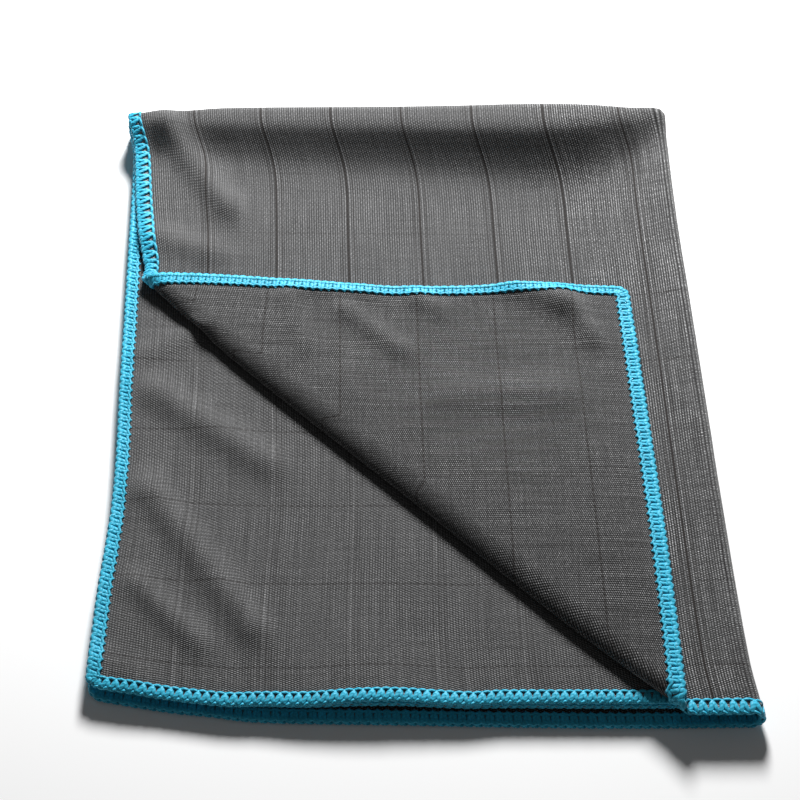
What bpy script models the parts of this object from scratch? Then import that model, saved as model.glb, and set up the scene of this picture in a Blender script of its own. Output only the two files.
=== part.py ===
"""A woven dishcloth with an overlocked edge, folded in quarters, one corner of the top leaf turned back.

Metres, +Z up. The cloth rests on z = 0. X is the width of the folded cloth, +Y its folded back edge.
"""
import math

import bmesh
import bpy
from mathutils import Vector

MM = 0.001

# Cut sizes of the flat cloth, in millimetres. U runs across the cloth and V along it.
HALF_WIDTH = 175.0
FRONT_LENGTH = 210.0      # from the back crease to the edge of the top and bottom leaves
INNER_LENGTH = 206.3      # from the back crease to the edge of the two inner leaves
CORNER_RADIUS = 3.7
CLOTH_THICKNESS = 1.0
EDGING_THICKNESS = 1.5
EDGING_WIDTH = 3.7
EDGING_ROUNDING = 0.4
EDGE_ANGLE = 65.0         # degrees; edges sharper than this are rounded
SEAM_GAP = 0.4            # between the cloth and the edging round it
EDGING_RAMP = 14.0        # how far in from the edging the cloth comes down to its own level

# How the leaves lie, in millimetres.
LEAF_HALF_GAP = 1.0       # half the distance between two leaves joined at the back crease
TURN_RADIUS = 2.0         # middle of the stack's turn at the right crease
BACK_SWELL = 2.45         # how much further the leaves part at the back crease
BACK_Y = 105.9            # where the back crease lies
# Distance from the back crease, then the share of the swell that is left.
SWELL_FADE = (
    (0.0, 1.0), (7.5, 1.0), (10.5, 0.92), (13.0, 0.76), (17.5, 0.45), (22.0, 0.2), (27.0, 0.06), (33.0, 0.0),
)
# Distance from the right crease, then the share of the swell there and how far forward it reaches.
SWELL_SPAN = ((0.0, 0.45), (13.0, 0.95), (25.0, 1.2), (40.0, 1.25), (60.0, 1.15), (90.0, 1.03),
              (140.0, 0.82), (160.0, 0.55), (175.0, 0.42))
SWELL_REACH = ((0.0, 0.55), (13.0, 0.85), (25.0, 1.1), (40.0, 1.22), (90.0, 1.1), (140.0, 0.98),
               (175.0, 0.7))

# The places below are measured from a mark on the cloth; this is the middle of its finished footprint.
MIDDLE = (3.47, 2.86)

# Side lines of the folded cloth: distance from front to back, then the position across.
LEFT_LINE = ((-102.0, -82.6), (-70.0, -82.2), (-36.0, -80.8), (0.0, -82.2), (52.0, -84.3), (108.0, -86.6))
RIGHT_LINE = ((-102.0, 95.0), (-84.0, 92.5), (-36.0, 90.3), (4.0, 89.1), (33.0, 88.2), (64.0, 87.2),
              (108.0, 86.9))

# Place across, then how far the back crease lies off its straight line.
BACK_LINE = ((-88.0, -2.2), (-68.0, -2.3), (-49.0, -2.8), (0.0, -3.8), (29.0, -4.0), (49.0, -4.1),
             (64.0, -3.4), (75.0, -2.2), (88.0, 1.4))
# Place across, then how far the bottom leaf's front edge lies ahead of the top leaf's.
BOTTOM_FRONT = ((-84.0, -7.0), (-62.0, -3.1), (-50.0, -1.7), (-38.0, -0.2), (0.0, 0.6), (30.0, 1.2),
                (60.0, 1.5), (95.0, 1.3))
# Place across, then how far the upper inner leaf's front edge is drawn back.
INNER_FRONT = ((-84.0, 4.0), (-71.0, 1.8), (-62.0, 0.1), (-46.0, -2.3), (-36.0, -1.6), (-25.0, -1.8),
               (-10.0, -0.2), (0.0, 0.2), (10.0, -0.6), (18.0, -1.2), (27.0, -0.1), (75.0, 0.1))

# The turned-back corner of the top leaf.
TURN_START = (-79.5, 41.9)
TURN_END = (79.3, -101.0)
CORNER_REST = (69.2, 35.2)      # where the turned corner comes to lie
FLAT_CORNER = (-83.0, -100.0)   # where it would lie unturned
# Along the turn: share of the way, how far the fold bows out from the straight line, the height of its roll,
# the cloth that the roll takes beyond lying flat, the radius of its foot and how far the foot hangs down.
TURN = (
    (0.0, 0.0, 2.7, 3.0, 1.1, 0.0),
    (0.1, 1.3, 3.0, 4.6, 0.8, 0.4),
    (0.22, 2.6, 3.4, 4.9, 0.75, 0.6),
    (0.55, 2.5, 3.4, 4.0, 0.75, 0.6),
    (0.8, 2.6, 3.2, 1.8, 0.8, 0.5),
    (1.0, 0.8, 2.8, 3.3, 1.2, 0.0),
)
FOOT_ANGLE = math.radians(137.0)    # how far the foot turns before the flap rises from it
HANG_REACH = 10.0                   # how far from the foot the leaf hangs down with it
FLAP_LIFT = 2.0                 # from the leaf below to the flap
FLAP_SETTLE = 30.0              # how far from the roll the flap takes to settle
FLAP_WAVE_RISE = 12.0           # how far from the roll the flap's own folds take to reach their height
EDGE_PULL = 6.2                 # how far the leaf's edge is drawn in beside the turn
EDGE_PULL_REACH = 24.0
EDGE_PULL_PLACE = 43.5
EDGE_SPREAD = 1.2               # how much wider the edging lies between the back crease and the turn
EDGE_SPREAD_REACH = 20.0
SIDE_EASE = 1.3                 # outward ease of the flap's right edge halfway along
SIDE_EASE_REACH = 45.0

# Soft ridges (rise > 0) and troughs (rise < 0): both ends, half width, rise.
LEAF_WAVES = (
    (-75.0, 96.8, -55.0, 67.8, 4.5, 3.2),
    (-74.4, 55.0, -61.0, 50.2, 5.0, 1.8),
    (-75.5, 13.5, -61.7, 19.9, 4.0, 1.6),
    (-71.0, -1.0, -39.0, -24.0, 5.0, 3.8),
    (-70.0, -34.0, -40.0, -74.6, 4.5, 4.2),
    (-71.0, -63.0, -55.0, -78.4, 3.5, 3.0),
    (-78.0, -85.0, -71.0, -88.0, 4.0, 1.4),
    (-10.0, -90.0, 2.0, -104.0, 14.0, 1.6),
    (-62.0, -94.0, -44.0, -104.0, 12.0, -0.9),
)
FLAP_WAVES = (
    (-33.8, 30.0, -28.6, 13.1, 3.0, 1.3),
    (-15.7, 25.2, -1.2, 12.3, 3.5, 1.6),
    (5.7, 30.8, 11.1, 25.6, 3.0, 0.9),
    (36.2, 34.0, 48.6, 29.5, 5.0, 2.0),
    (49.8, 27.7, 56.4, 17.6, 4.0, 1.8),
    (17.9, -4.1, 43.9, -3.5, 6.0, 1.3),
    (50.0, -10.0, 62.0, -50.0, 12.0, 0.8),
)
WAVE_END_REACH = 1.5            # how far a ridge runs out past its end, in half widths
# How sharply the unevenness of the lower leaves' front edges fades towards the back.
BOTTOM_FADE = 2
INNER_FADE = 4

# Mesh spacing, the steps round each crease and the mesh lines past the turn.
UPPER_STEP = 7.0
LOWER_STEP = 22.0
BEND_STEPS = 6
TURN_CUTS = (-1.5, 0.0, 0.45, 0.9, 1.35, 1.85, 2.6, 3.8, 5.3, 7.2, 9.3, 12.0)
# The mesh lines are drawn to the curved fold: how far each side of them, and in from the rim, this fades.
FOLLOW_BEFORE = 16.0
FOLLOW_AFTER = 24.0
RIM_REACH = 12.0
FOLLOW_ROUNDS = 4
LINE_TOLERANCE = 0.01
MERGE = 0.0001

TURN_RUN = math.dist(TURN_START, TURN_END)
TURN_WAY = ((TURN_END[0] - TURN_START[0]) / TURN_RUN, (TURN_END[1] - TURN_START[1]) / TURN_RUN)


def along(table, place):
    """Value of a two-column table at a place, on a smooth curve through its rows."""
    if place <= table[0][0]:
        return table[0][1]
    if place >= table[-1][0]:
        return table[-1][1]
    for row in range(len(table) - 1):
        if table[row][0] <= place <= table[row + 1][0]:
            break
    first = table[max(row - 1, 0)]
    start = table[row]
    end = table[row + 1]
    last = table[min(row + 2, len(table) - 1)]
    span = end[0] - start[0]
    start_slope = (end[1] - first[1]) / (end[0] - first[0])
    end_slope = (last[1] - start[1]) / (last[0] - start[0])
    share = (place - start[0]) / span
    keep = 1 - share
    return (start[1] * keep * keep * (1 + 2 * share) + end[1] * share * share * (3 - 2 * share)
            + start_slope * span * share * keep * keep - end_slope * span * share * share * keep)


def wave_height(waves, x, y):
    """Sum of the soft ridges and troughs of a table at a point."""
    height = 0.0
    for start_x, start_y, end_x, end_y, half_width, rise in waves:
        run_x = end_x - start_x
        run_y = end_y - start_y
        run = math.hypot(run_x, run_y)
        lengthwise = ((x - start_x) * run_x + (y - start_y) * run_y) / run
        across = ((x - start_x) * run_y - (y - start_y) * run_x) / run
        beyond = max(0.0, -lengthwise, lengthwise - run)
        height += rise * math.exp(-(across / half_width) ** 2 - (beyond / (WAVE_END_REACH * half_width)) ** 2)
    return height


def round_corner(u, v):
    """Move a point of the square-cut panel so that the panel's corners are round."""
    end = FRONT_LENGTH if v < 0 else INNER_LENGTH
    past_u = abs(u) - (HALF_WIDTH - CORNER_RADIUS)
    past_v = abs(v) - (end - CORNER_RADIUS)
    if past_u <= 0 or past_v <= 0:
        return u, v
    scale = max(past_u, past_v) / math.hypot(past_u, past_v)
    u = math.copysign(HALF_WIDTH - CORNER_RADIUS + past_u * scale, u)
    v = math.copysign(end - CORNER_RADIUS + past_v * scale, v)
    return u, v


def fold_in_quarters(u, v):
    """Fold the flat cloth over its two creases. Gives x, y, z and the share of the stack's height."""
    fade = along(SWELL_FADE, abs(v) / along(SWELL_REACH, abs(u)))
    swell = BACK_SWELL * along(SWELL_SPAN, abs(u)) * fade
    half_gap = LEAF_HALF_GAP + swell
    crease_half = math.pi * (LEAF_HALF_GAP + BACK_SWELL) / 2
    if abs(v) < crease_half:
        angle = v / crease_half * math.pi / 2
        y = BACK_Y - half_gap * (1 - math.cos(angle))
        offset = -half_gap * math.sin(angle)
    else:
        y = BACK_Y - half_gap - (abs(v) - crease_half)
        offset = math.copysign(half_gap, -v)
    radius = TURN_RADIUS + swell
    turn_half = math.pi * TURN_RADIUS / 2
    outer = radius + half_gap
    if abs(u) < turn_half:
        angle = u / turn_half * math.pi / 2
        x = (radius + offset) * math.cos(angle) - outer
        z = -(radius + offset) * math.sin(angle)
    else:
        x = -(abs(u) - turn_half) - outer
        z = math.copysign(radius + offset, -u)
    share = (z + radius + half_gap) / (2 * (radius + half_gap))
    return x, y, z + radius + half_gap, share


def lie_askew(x, y, share, inner):
    """Lay the folded stack between its side lines, with the lower leaves' front edges uneven."""
    forward = max(0.0, (BACK_Y - y) / FRONT_LENGTH)
    left = along(LEFT_LINE, y)
    right = along(RIGHT_LINE, y)
    x = right + x / HALF_WIDTH * (right - left)
    y += along(BACK_LINE, x) * (1 - forward)
    y -= along(BOTTOM_FRONT, x) * (1 - share) * forward ** BOTTOM_FADE
    if inner:
        y += along(INNER_FRONT, x) * share * forward ** INNER_FADE
    return x, y


def edging_lift(u, v):
    """How far the thicker edging lifts the cloth beside it."""
    end = FRONT_LENGTH if v < 0 else INNER_LENGTH
    inside = min(HALF_WIDTH - abs(u), end - abs(v)) - EDGING_WIDTH
    share = min(1.0, max(0.0, 1 - inside / EDGING_RAMP))
    return (EDGING_THICKNESS - CLOTH_THICKNESS) / 2 * share * share * (3 - 2 * share)


def edge_spread(u, v):
    """How far the top leaf's wider edging moves the cloth in from its side edge."""
    inside = HALF_WIDTH - abs(u)
    crease = 1 - math.exp(-abs(v) / EDGE_SPREAD_REACH)
    turn = math.exp(-max(0.0, abs(v) - (BACK_Y - EDGE_PULL_PLACE)) / EDGE_SPREAD_REACH)
    beyond = max(0.0, inside - EDGING_WIDTH)
    near = min(1.0, inside / EDGING_WIDTH) * math.exp(-beyond / EDGE_SPREAD_REACH)
    return EDGE_SPREAD * crease * turn * near


def beside_turn(x, y):
    """How far along the turn a place lies, and how far past it."""
    from_x = x - TURN_START[0]
    from_y = y - TURN_START[1]
    return from_x * TURN_WAY[0] + from_y * TURN_WAY[1], from_x * TURN_WAY[1] - from_y * TURN_WAY[0]


def turn_at(share):
    """The measures of the turn at a share of the way along it."""
    return [along([(row[0], row[column]) for row in TURN], share) for column in range(1, len(TURN[0]))]


def pull_edge(x, y):
    """Draw a place on the top leaf in from its side edge, beside the turn."""
    near = math.hypot(x - along(LEFT_LINE, y), y - EDGE_PULL_PLACE)
    return x + EDGE_PULL * math.exp(-near / EDGE_PULL_REACH), y


def turn_back(x, y, z, from_front):
    """Turn the free corner of the top leaf back over the leaf. Gives x, y, z and the length laid flat."""
    lengthwise, past = beside_turn(x, y)
    bow, height, taken, foot, hang = turn_at(lengthwise / TURN_RUN)
    past -= bow
    if past <= 0:
        return x, y, z - hang * math.exp(-(past / HANG_REACH) ** 2), 0.0
    corner_length, corner_past = beside_turn(*FLAT_CORNER)
    rest_length, rest_past = beside_turn(*CORNER_REST)
    corner_bow, corner_height, corner_taken = turn_at(corner_length / TURN_RUN)[:3]
    corner_laid = corner_past - corner_bow - corner_taken
    drawn = (corner_bow - rest_past) / corner_laid
    laid = max(0.0, past - taken)

    # The foot turns sharply over. From it the flap rises along a curve that levels out, then settles.
    foot_cloth = foot * FOOT_ANGLE
    foot_out = foot * math.sin(FOOT_ANGLE)
    foot_top = foot * (1 - math.cos(FOOT_ANGLE)) - hang
    behind = 2 * (height - foot_top) / math.tan(math.pi - FOOT_ANGLE)
    level = taken + (behind - foot_out) / drawn
    side = SIDE_EASE * math.sin(math.pi * min(1.0, laid / corner_laid))
    side *= math.exp(-from_front / SIDE_EASE_REACH)
    if past < foot_cloth:
        reach = foot * math.sin(past / foot)
        rise = foot * (1 - math.cos(past / foot)) - hang
    elif past < level:
        over = (past - foot_cloth) / (level - foot_cloth)
        reach = foot_out - behind * over
        rise = foot_top + (height - foot_top) * over * (2 - over)
    else:
        reach = -laid * drawn
        rise = FLAP_LIFT + (height - FLAP_LIFT) * math.exp(-((past - level) / FLAP_SETTLE) ** 2)
    reach += bow - side
    lengthwise += laid * (rest_length - corner_length) / corner_laid
    x = TURN_START[0] + lengthwise * TURN_WAY[0] + reach * TURN_WAY[1]
    y = TURN_START[1] + lengthwise * TURN_WAY[1] - reach * TURN_WAY[0]
    return x, y, z + rise, laid


def lie_of(u, v):
    """Where a point of the flat cloth lies when the cloth is folded, in millimetres."""
    u, v = round_corner(u, v)
    x, y, z, share = fold_in_quarters(u, v)
    x, y = lie_askew(x, y, share, v > 0)
    laid = 0.0
    if u < -math.pi * TURN_RADIUS / 2 and v < 0:
        x, y = pull_edge(x + edge_spread(u, v), y)
        x, y, z, laid = turn_back(x, y, z, FRONT_LENGTH + v)
    z += edging_lift(u, v)
    z += share * wave_height(LEAF_WAVES, x, y)
    if laid > 0:
        z += (1 - math.exp(-laid / FLAP_WAVE_RISE)) * wave_height(FLAP_WAVES, x, y)
    return x, y, z


def cut_lines(mesh, axis, places):
    """Cut the flat mesh along lines square to an axis."""
    normal = Vector((1, 0, 0)) if axis == 0 else Vector((0, 1, 0))
    for place in places:
        everything = mesh.verts[:] + mesh.edges[:] + mesh.faces[:]
        bmesh.ops.bisect_plane(mesh, geom=everything, dist=MERGE, plane_co=normal * place, plane_no=normal)


def cut_turn_lines(mesh, border):
    """Cut the top leaf of the flat mesh along lines that follow the turned-back corner."""
    start = flat_place(TURN_START)
    end = flat_place(TURN_END)
    outward = Vector((end.y - start.y, start.x - end.x, 0)).normalized()
    for cut in TURN_CUTS:
        leaf = [face for face in mesh.faces if max(face.calc_center_median().xy) < 0]
        parts = set(leaf)
        for face in leaf:
            parts.update(face.verts)
            parts.update(face.edges)
        place = start + outward * cut
        bmesh.ops.bisect_plane(mesh, geom=list(parts), dist=MERGE, plane_co=place, plane_no=outward)
    crossing = []
    for edge in mesh.edges:
        run = edge.verts[1].co - edge.verts[0].co
        middle = (edge.verts[0].co + edge.verts[1].co) / 2
        pasts = [(vert.co - start).dot(outward) for vert in edge.verts]
        in_band = min(pasts) > TURN_CUTS[0] - LINE_TOLERANCE and max(pasts) < TURN_CUTS[-1] + LINE_TOLERANCE
        squarely = abs(run.y) < LINE_TOLERANCE or (border and abs(run.x) < LINE_TOLERANCE)
        if in_band and squarely and not edge.is_boundary and max(middle.xy) < 0:
            crossing.append(edge)
    bmesh.ops.dissolve_edges(mesh, edges=crossing, use_verts=True)

    # Draw the lines to the curved fold. Beside the rim they slide along it.
    for vert in mesh.verts:
        straight = (vert.co - start).dot(outward)
        before = 1 + (straight - TURN_CUTS[0]) / FOLLOW_BEFORE
        after = 1 - (straight - TURN_CUTS[-1]) / FOLLOW_AFTER
        follow = min(1.0, before, after)
        if max(vert.co.xy) >= 0 or follow <= 0:
            continue
        rim = EDGING_WIDTH + SEAM_GAP
        from_side = min(1.0, max(0.0, (HALF_WIDTH - rim + vert.co.x) / RIM_REACH))
        from_front = min(1.0, max(0.0, (FRONT_LENGTH - rim + vert.co.y) / RIM_REACH))
        way = Vector((outward.x * from_side, outward.y * from_front, 0))
        if way.length == 0:
            continue
        way /= way.dot(outward)
        past = past_turn(vert.co.x, vert.co.y)
        wanted = past + (straight - past) * follow
        for _ in range(FOLLOW_ROUNDS):
            vert.co += way * (wanted - past_turn(vert.co.x, vert.co.y))


def past_turn(u, v):
    """How far past the curved fold a place on the flat top leaf lies."""
    x, y, z, share = fold_in_quarters(u, v)
    x, y = lie_askew(x, y, share, False)
    lengthwise, past = beside_turn(*pull_edge(x + edge_spread(u, v), y))
    return past - turn_at(lengthwise / TURN_RUN)[0]


def flat_place(place):
    """Where a place on the top leaf, seen from above, was on the flat cloth."""
    x, y = place
    left = along(LEFT_LINE, y)
    right = along(RIGHT_LINE, y)
    crease_half = math.pi * (LEAF_HALF_GAP + BACK_SWELL) / 2
    return Vector(((x - right) / (right - left) * HALF_WIDTH, y - BACK_Y + LEAF_HALF_GAP - crease_half, 0))


def bend_places(half):
    """Places of the cut lines round a bend whose flat width is twice the given half."""
    return [half * (2 * step / BEND_STEPS - 1) for step in range(BEND_STEPS + 1)]


def even_places(start, end, step):
    """Places of evenly spaced cut lines between two ends, the ends left out."""
    count = max(1, round(abs(end - start) / step))
    return [start + (end - start) * number / count for number in range(1, count)]


def flat_mesh(border):
    """A flat rectangle, cut along the creases, either the whole cloth or its border band."""
    mesh = bmesh.new()
    bmesh.ops.create_grid(mesh, x_segments=1, y_segments=1, size=1.0)
    for vert in mesh.verts:
        vert.co.x *= HALF_WIDTH
        vert.co.y = INNER_LENGTH if vert.co.y > 0 else -FRONT_LENGTH
    turn_half = math.pi * TURN_RADIUS / 2
    crease_half = math.pi * (LEAF_HALF_GAP + BACK_SWELL) / 2
    rim = EDGING_WIDTH + SEAM_GAP
    cut_lines(mesh, 0, even_places(rim - HALF_WIDTH, -turn_half, UPPER_STEP))
    cut_lines(mesh, 0, even_places(turn_half, HALF_WIDTH - rim, LOWER_STEP))
    cut_lines(mesh, 0, bend_places(turn_half))
    cut_lines(mesh, 1, even_places(rim - FRONT_LENGTH, -crease_half, UPPER_STEP))
    cut_lines(mesh, 1, even_places(crease_half, INNER_LENGTH - rim, UPPER_STEP))
    cut_lines(mesh, 1, bend_places(crease_half))
    inset = EDGING_WIDTH if border else EDGING_WIDTH + SEAM_GAP
    side = HALF_WIDTH - inset
    front = inset - FRONT_LENGTH
    back = INNER_LENGTH - inset
    cut_lines(mesh, 0, (-side, side))
    cut_lines(mesh, 1, (front, back))
    unwanted = []
    for face in mesh.faces:
        middle = face.calc_center_median()
        inside = abs(middle.x) < side and front < middle.y < back
        if inside == border:
            unwanted.append(face)
    bmesh.ops.delete(mesh, geom=unwanted, context="FACES")
    cut_turn_lines(mesh, border)
    return mesh


def solid_sheet(name, mesh, thickness, rounding, material, collection):
    """Fold a flat mesh and make it a solid of the given thickness and edge rounding."""
    for vert in mesh.verts:
        x, y, z = lie_of(vert.co.x, vert.co.y)
        vert.co = Vector((x - MIDDLE[0], y - MIDDLE[1], z + CLOTH_THICKNESS / 2)) * MM
    bmesh.ops.recalc_face_normals(mesh, faces=mesh.faces)
    data = bpy.data.meshes.new(name)
    mesh.to_mesh(data)
    mesh.free()
    data.materials.append(material)
    piece = bpy.data.objects.new(name, data)
    collection.objects.link(piece)
    solidify = piece.modifiers.new("thickness", "SOLIDIFY")
    solidify.thickness = thickness * MM
    solidify.offset = 0.0
    solidify.use_even_offset = False
    if rounding > 0:
        bevel = piece.modifiers.new("rounding", "BEVEL")
        bevel.width = rounding * MM
        bevel.segments = 1
        bevel.limit_method = "ANGLE"
        bevel.angle_limit = math.radians(EDGE_ANGLE)
    for face in data.polygons:
        face.use_smooth = True
    return piece


def plain_material(name, color, roughness):
    """A Principled material of one colour."""
    material = bpy.data.materials.new(name)
    material.use_nodes = True
    shader = material.node_tree.nodes["Principled BSDF"]
    shader.inputs["Base Color"].default_value = color
    shader.inputs["Roughness"].default_value = roughness
    shader.inputs["Metallic"].default_value = 0.0
    return material


def main():
    for item in list(bpy.data.objects):
        bpy.data.objects.remove(item, do_unlink=True)
    collection = bpy.data.collections.new("dishcloth")
    bpy.context.scene.collection.children.link(collection)
    grey_weave = plain_material("grey_weave", (0.115, 0.110, 0.107, 1.0), 0.85)
    turquoise_thread = plain_material("turquoise_thread", (0.012, 0.43, 0.68, 1.0), 0.55)
    solid_sheet("cloth", flat_mesh(False), CLOTH_THICKNESS, 0.0, grey_weave, collection)
    solid_sheet("edging", flat_mesh(True), EDGING_THICKNESS, EDGING_ROUNDING, turquoise_thread, collection)


main()
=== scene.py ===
"""A microfibre dishcloth with overlocked edges, folded in quarters, one corner of its top leaf turned back.

The fold is the same formula as the cloth's solid, in millimetres, with finer creases. U runs across the
flat cloth and V along it, both from the middle. The overlock threads are sewn flat and folded with it.
"""
import math

import bmesh
import bpy
import numpy as np
from bpy.props import FloatProperty, FloatVectorProperty, IntProperty, PointerProperty
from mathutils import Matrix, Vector


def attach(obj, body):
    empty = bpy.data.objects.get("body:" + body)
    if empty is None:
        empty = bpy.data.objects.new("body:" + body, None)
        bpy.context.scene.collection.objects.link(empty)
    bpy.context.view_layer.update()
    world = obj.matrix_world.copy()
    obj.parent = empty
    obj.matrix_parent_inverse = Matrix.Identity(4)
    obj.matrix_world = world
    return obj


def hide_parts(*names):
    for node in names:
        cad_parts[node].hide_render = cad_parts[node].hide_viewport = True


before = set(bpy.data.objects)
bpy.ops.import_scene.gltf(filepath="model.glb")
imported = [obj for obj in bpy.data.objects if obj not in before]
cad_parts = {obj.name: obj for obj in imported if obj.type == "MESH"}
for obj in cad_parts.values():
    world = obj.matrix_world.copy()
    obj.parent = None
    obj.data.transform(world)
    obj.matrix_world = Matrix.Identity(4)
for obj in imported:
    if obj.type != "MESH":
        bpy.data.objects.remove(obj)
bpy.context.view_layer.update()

bl_info = {
    "name": "Folded Dishcloth",
    "version": (1, 0, 0),
    "blender": (4, 5, 0),
    "location": "View3D > Sidebar > Dishcloth",
    "description": "A woven dishcloth with overlocked edges, folded in quarters",
    "category": "Add Mesh",
}

MM = 0.001

# Cut sizes of the flat cloth.
HALF_WIDTH = 175.0
FRONT_LENGTH = 210.0      # from the back crease to the edge of the top and bottom leaves
INNER_LENGTH = 206.3      # from the back crease to the edge of the two inner leaves
CORNER_RADIUS = 3.7
EDGING_WIDTH = 3.7
EDGING_RAMP = 14.0        # how far in from the edging the cloth comes down to its own level
EDGING_LIFT = 0.25        # how far the thicker edging lifts the cloth
CLOTH_LEVEL = 0.5         # height of the middle of the lowest leaf

# How the leaves lie.
LEAF_HALF_GAP = 1.0       # half the distance between two leaves joined at the back crease
TURN_RADIUS = 2.0         # middle of the stack's turn at the right crease
BACK_SWELL = 2.45         # how much further the leaves part at the back crease
BACK_Y = 105.9            # where the back crease lies
MIDDLE = (3.47, 2.86)     # middle of the finished footprint

# Distance from the back crease, then the share of the swell that is left.
SWELL_FADE = (
    (0.0, 1.0), (7.5, 1.0), (10.5, 0.92), (13.0, 0.76), (17.5, 0.45), (22.0, 0.2), (27.0, 0.06), (33.0, 0.0),
)
# Distance from the right crease, then the share of the swell there and how far forward it reaches.
SWELL_SPAN = ((0.0, 0.45), (13.0, 0.95), (25.0, 1.2), (40.0, 1.25), (60.0, 1.15), (90.0, 1.03),
              (140.0, 0.82), (160.0, 0.55), (175.0, 0.42))
SWELL_REACH = ((0.0, 0.55), (13.0, 0.85), (25.0, 1.1), (40.0, 1.22), (90.0, 1.1), (140.0, 0.98),
               (175.0, 0.7))

# Side lines of the folded cloth: distance from front to back, then the position across.
LEFT_LINE = ((-102.0, -82.6), (-70.0, -82.2), (-36.0, -80.8), (0.0, -82.2), (52.0, -84.3), (108.0, -86.6))
RIGHT_LINE = ((-102.0, 95.0), (-84.0, 92.5), (-36.0, 90.3), (4.0, 89.1), (33.0, 88.2), (64.0, 87.2),
              (108.0, 86.9))
# Place across, then how far the back crease lies off its straight line.
BACK_LINE = ((-88.0, -2.2), (-68.0, -2.3), (-49.0, -2.8), (0.0, -3.8), (29.0, -4.0), (49.0, -4.1),
             (64.0, -3.4), (75.0, -2.2), (88.0, 1.4))
# Place across, then how far the bottom leaf's front edge lies ahead of the top leaf's.
BOTTOM_FRONT = ((-84.0, -7.0), (-62.0, -3.1), (-50.0, -1.7), (-38.0, -0.2), (0.0, 0.6), (30.0, 1.2),
                (60.0, 1.5), (95.0, 1.3))
# Place across, then how far the upper inner leaf's front edge is drawn back.
INNER_FRONT = ((-84.0, 4.0), (-71.0, 1.8), (-62.0, 0.1), (-46.0, -2.3), (-36.0, -1.6), (-25.0, -1.8),
               (-10.0, -0.2), (0.0, 0.2), (10.0, -0.6), (18.0, -1.2), (27.0, -0.1), (75.0, 0.1))

# The turned-back corner of the top leaf.
TURN_START = (-79.5, 41.9)
TURN_END = (79.3, -101.0)
CORNER_REST = (69.2, 35.2)      # where the turned corner comes to lie
FLAT_CORNER = (-83.0, -100.0)   # where it would lie unturned
FLAP_LIFT = 2.0                 # from the leaf below to the flap
FLAP_SETTLE = 30.0              # how far from the roll the flap takes to settle
FLAP_WAVE_RISE = 12.0           # how far from the roll the flap's own folds take to reach their height
EDGE_PULL = 6.2                 # how far the leaf's edge is drawn in beside the turn
EDGE_PULL_REACH = 24.0
EDGE_PULL_PLACE = 43.5
EDGE_SPREAD = 1.2               # how much wider the edging lies between the back crease and the turn
EDGE_SPREAD_REACH = 20.0
# Along the turn: share of the way, how far the fold bows out from the straight line, the height of its
# roll, the cloth that the roll takes beyond lying flat, the radius of its foot and how far the foot hangs.
TURN = (
    (0.0, 0.0, 2.7, 3.0, 1.1, 0.0),
    (0.1, 1.3, 3.0, 4.6, 0.8, 0.4),
    (0.22, 2.6, 3.4, 4.9, 0.75, 0.6),
    (0.55, 2.5, 3.4, 4.0, 0.75, 0.6),
    (0.8, 2.6, 3.2, 1.8, 0.8, 0.5),
    (1.0, 0.8, 2.8, 3.3, 1.2, 0.0),
)
FOOT_ANGLE = math.radians(137.0)    # how far the foot turns before the flap rises from it
HANG_REACH = 10.0               # how far from the foot the leaf hangs down with it
SIDE_EASE = 1.3                 # outward ease of the flap's right edge halfway along
SIDE_EASE_REACH = 45.0

# Soft ridges (rise > 0) and troughs (rise < 0): both ends, half width, rise.
LEAF_WAVES = (
    (-75.0, 96.8, -55.0, 67.8, 4.5, 3.2),
    (-74.4, 55.0, -61.0, 50.2, 5.0, 1.8),
    (70.0, 15.0, 88.0, -15.0, 2.5, 0.35),
    (-75.5, 13.5, -61.7, 19.9, 4.0, 1.6),
    (-71.0, -1.0, -39.0, -24.0, 5.0, 3.8),
    (-70.0, -34.0, -40.0, -74.6, 4.5, 4.2),
    (-71.0, -63.0, -55.0, -78.4, 3.5, 3.0),
    (-78.0, -85.0, -71.0, -88.0, 4.0, 1.4),
    (-10.0, -90.0, 2.0, -104.0, 14.0, 1.6),
    (-62.0, -94.0, -44.0, -104.0, 12.0, -0.9),
)
FLAP_WAVES = (
    (-33.8, 30.0, -28.6, 13.1, 3.0, 1.3),
    (-15.7, 25.2, -1.2, 12.3, 3.5, 1.6),
    (5.7, 30.8, 11.1, 25.6, 3.0, 0.9),
    (-28.2, 33.9, -11.9, 32.4, 3.5, 0.9),
    (36.2, 34.0, 48.6, 29.5, 5.0, 2.0),
    (49.8, 27.7, 56.4, 17.6, 4.0, 1.8),
    (17.9, -4.1, 43.9, -3.5, 6.0, 1.3),
    (50.0, -10.0, 62.0, -50.0, 12.0, 0.8),
)
WAVE_END_REACH = 1.5            # how far a ridge runs out past its end, in half widths
# Powers by which the unevenness of the leaves' front edges fades towards the back.
BOTTOM_FADE = 2
INNER_FADE = 4

# The thin lines of the woven squares, measured from the left rim and from the top leaf's front rim.
WARP_LINE_START = 22.5
WARP_LINE_PITCH = 23.3
WEFT_LINE_START = 13.1
WEFT_LINE_PITCH = 24.3
INNER_LINE_SHIFT = 4.0          # how much nearer the front the inner leaves' lines lie
FLAP_NARROWING = 0.08           # share by which the flap's squares are narrower
FLAP_LENGTHENING = 0.153        # share by which they are longer
FLAP_LINE_SHIFT = 5.8           # how much nearer the front rim their lines lie
FLAP_EASE_START = 0.25          # share of the roll where this begins
# Where the outer leaf gives way to the inner ones, from the front rim, and where the cloth nears its side
# crease, from the left rim.
LEAF_CHANGE = (190.0, 225.0)
SIDE_CREASE_NEARS = (115.0, 150.0)
DOT_PITCH = 1.9                 # distance between the dots of a line
WEFT_LINE_HALF = 0.3
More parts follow.
